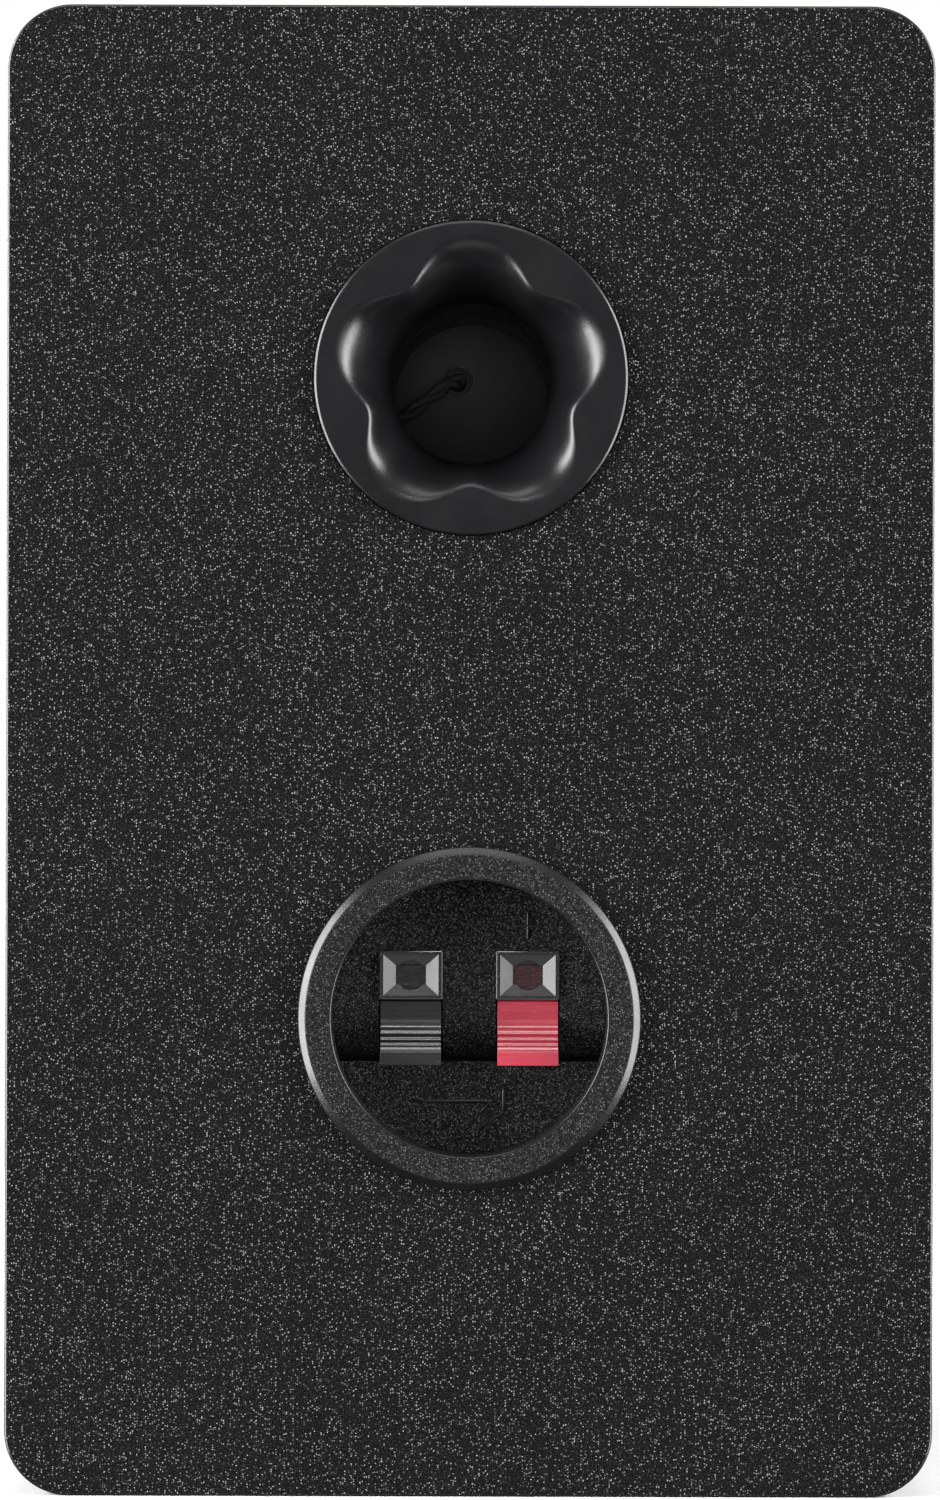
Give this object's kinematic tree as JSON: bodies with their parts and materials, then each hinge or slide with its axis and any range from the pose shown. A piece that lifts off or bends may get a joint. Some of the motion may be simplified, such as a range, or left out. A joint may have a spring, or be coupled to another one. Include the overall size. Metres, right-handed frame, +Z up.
{
  "type": "bookshelf speaker",
  "caption": "Compact two-way ported bookshelf loudspeaker with a lobed rear port and a round recessed cup of push-down spring-clip terminals.",
  "frame": {"origin": "under the middle of the cabinet, on the surface it stands on", "axes": "+Z up, +Y out of the back (port and terminals), -Y out of the front (woofer and tweeter), X across"},
  "size_m": [0.15, 0.186, 0.241],
  "materials": {
    "wrap": "black satin-gloss lacquer over fibreboard",
    "panel_paint": "matte black paint with a fine sparkling grain, over fibreboard",
    "wadding": "loose polyester fibre",
    "port_plastic": "fine satin moulding",
    "cup_plastic": "grained satin moulding",
    "guide_plastic": "smooth moulding",
    "foam": "closed-cell foam",
    "lever_black": "ribbed smooth moulding",
    "lever_red": "ribbed smooth moulding",
    "spring_steel": "bright wire",
    "contact_brass": "stamped strip",
    "basket_paint": "black powder coat on pressed steel",
    "rubber": "matte butyl rubber",
    "cone_paper": "coated fibre",
    "former_aluminium": "thin rolled foil",
    "copper_wire": "enamelled copper wire",
    "spider_cloth": "resin-treated corrugated cotton",
    "zinc_steel": "zinc plated",
    "ferrite": "ground ferrite",
    "screw_steel": "black zinc",
    "faceplate_plastic": "satin moulding",
    "dome_silk": "coated silk",
    "circuit_board": "solder mask over glass laminate",
    "spacer_nylon": "natural nylon",
    "capacitor_sleeve": "shrink sleeve",
    "resistor_ceramic": "cast cement body",
    "lead_sleeve": "twisted pair of insulated conductors"
  },
  "bodies": {
    "cabinet": {"cabinet_shell": "wrap", "front_baffle": "panel_paint", "rear_panel": "panel_paint", "wadding_left": "wadding", "wadding_right": "wadding", "port_flare": "port_plastic", "port_tube": "port_plastic", "terminal_cup": "cup_plastic", "cup_back_cover": "cup_plastic", "wire_guide_negative": "guide_plastic", "wire_guide_positive": "guide_plastic", "cup_gasket": "foam", "lever_spring_negative": "spring_steel", "lever_spring_positive": "spring_steel", "lever_axle": "spring_steel", "contact_negative": "contact_brass", "contact_positive": "contact_brass", "woofer_terminal_strip": "contact_brass", "woofer_basket": "basket_paint", "woofer_gasket_ring": "rubber", "woofer_surround": "rubber", "tweeter_grommet": "rubber", "inductor_winding": "copper_wire", "woofer_spider": "spider_cloth", "woofer_top_plate": "zinc_steel", "woofer_yoke": "zinc_steel", "tweeter_top_plate": "zinc_steel", "tweeter_yoke": "zinc_steel", "board_screw_1": "zinc_steel", "board_screw_2": "zinc_steel", "woofer_magnet": "ferrite", "tweeter_magnet": "ferrite", "woofer_screw_1": "screw_steel", "woofer_screw_2": "screw_steel", "woofer_screw_3": "screw_steel", "woofer_screw_4": "screw_steel", "tweeter_screw_1": "screw_steel", "tweeter_screw_2": "screw_steel", "tweeter_screw_3": "screw_steel", "tweeter_screw_4": "screw_steel", "tweeter_faceplate": "faceplate_plastic", "tweeter_rear_chamber": "faceplate_plastic", "inductor_bobbin": "faceplate_plastic", "tweeter_surround": "dome_silk", "crossover_board": "circuit_board", "board_spacer_1": "spacer_nylon", "board_spacer_2": "spacer_nylon", "tweeter_capacitor": "capacitor_sleeve", "crossover_resistor": "resistor_ceramic", "input_lead": "lead_sleeve", "woofer_lead": "lead_sleeve", "tweeter_lead": "lead_sleeve"},
    "lever_negative": {"lever_negative": "lever_black"},
    "lever_positive": {"lever_positive": "lever_red"},
    "woofer_cone": {"woofer_cone": "cone_paper", "woofer_dust_cap": "cone_paper", "woofer_former": "former_aluminium", "woofer_voice_coil": "copper_wire"},
    "tweeter_dome": {"tweeter_dome": "dome_silk", "tweeter_voice_coil": "copper_wire"}
  },
  "joints": [
    {"name": "lever_negative_press", "type": "hinge", "parent": "cabinet", "child": "lever_negative", "pos_m": [0.00953, 0.068, 0.0813], "axis": [-1, 0, 0], "range_deg": [0, 8], "stiffness_Nm_per_rad": 0.4, "springref_deg": -5.73, "deforming": ["lever_spring_negative"]},
    {"name": "lever_positive_press", "type": "hinge", "parent": "cabinet", "child": "lever_positive", "pos_m": [-0.00953, 0.068, 0.0813], "axis": [-1, 0, 0], "range_deg": [0, 8], "stiffness_Nm_per_rad": 0.4, "springref_deg": -5.73, "deforming": ["lever_spring_positive"]},
    {"name": "woofer_cone_travel", "type": "slide", "parent": "cabinet", "child": "woofer_cone", "axis": [0, -1, 0], "range_m": [-0.0035, 0.0035], "stiffness_N_per_m": 1000, "deforming": ["woofer_surround", "woofer_spider"]},
    {"name": "tweeter_dome_travel", "type": "slide", "parent": "cabinet", "child": "tweeter_dome", "axis": [0, -1, 0], "range_m": [-0.0003, 0.0003], "stiffness_N_per_m": 1500, "deforming": ["tweeter_surround"]}
  ]
}
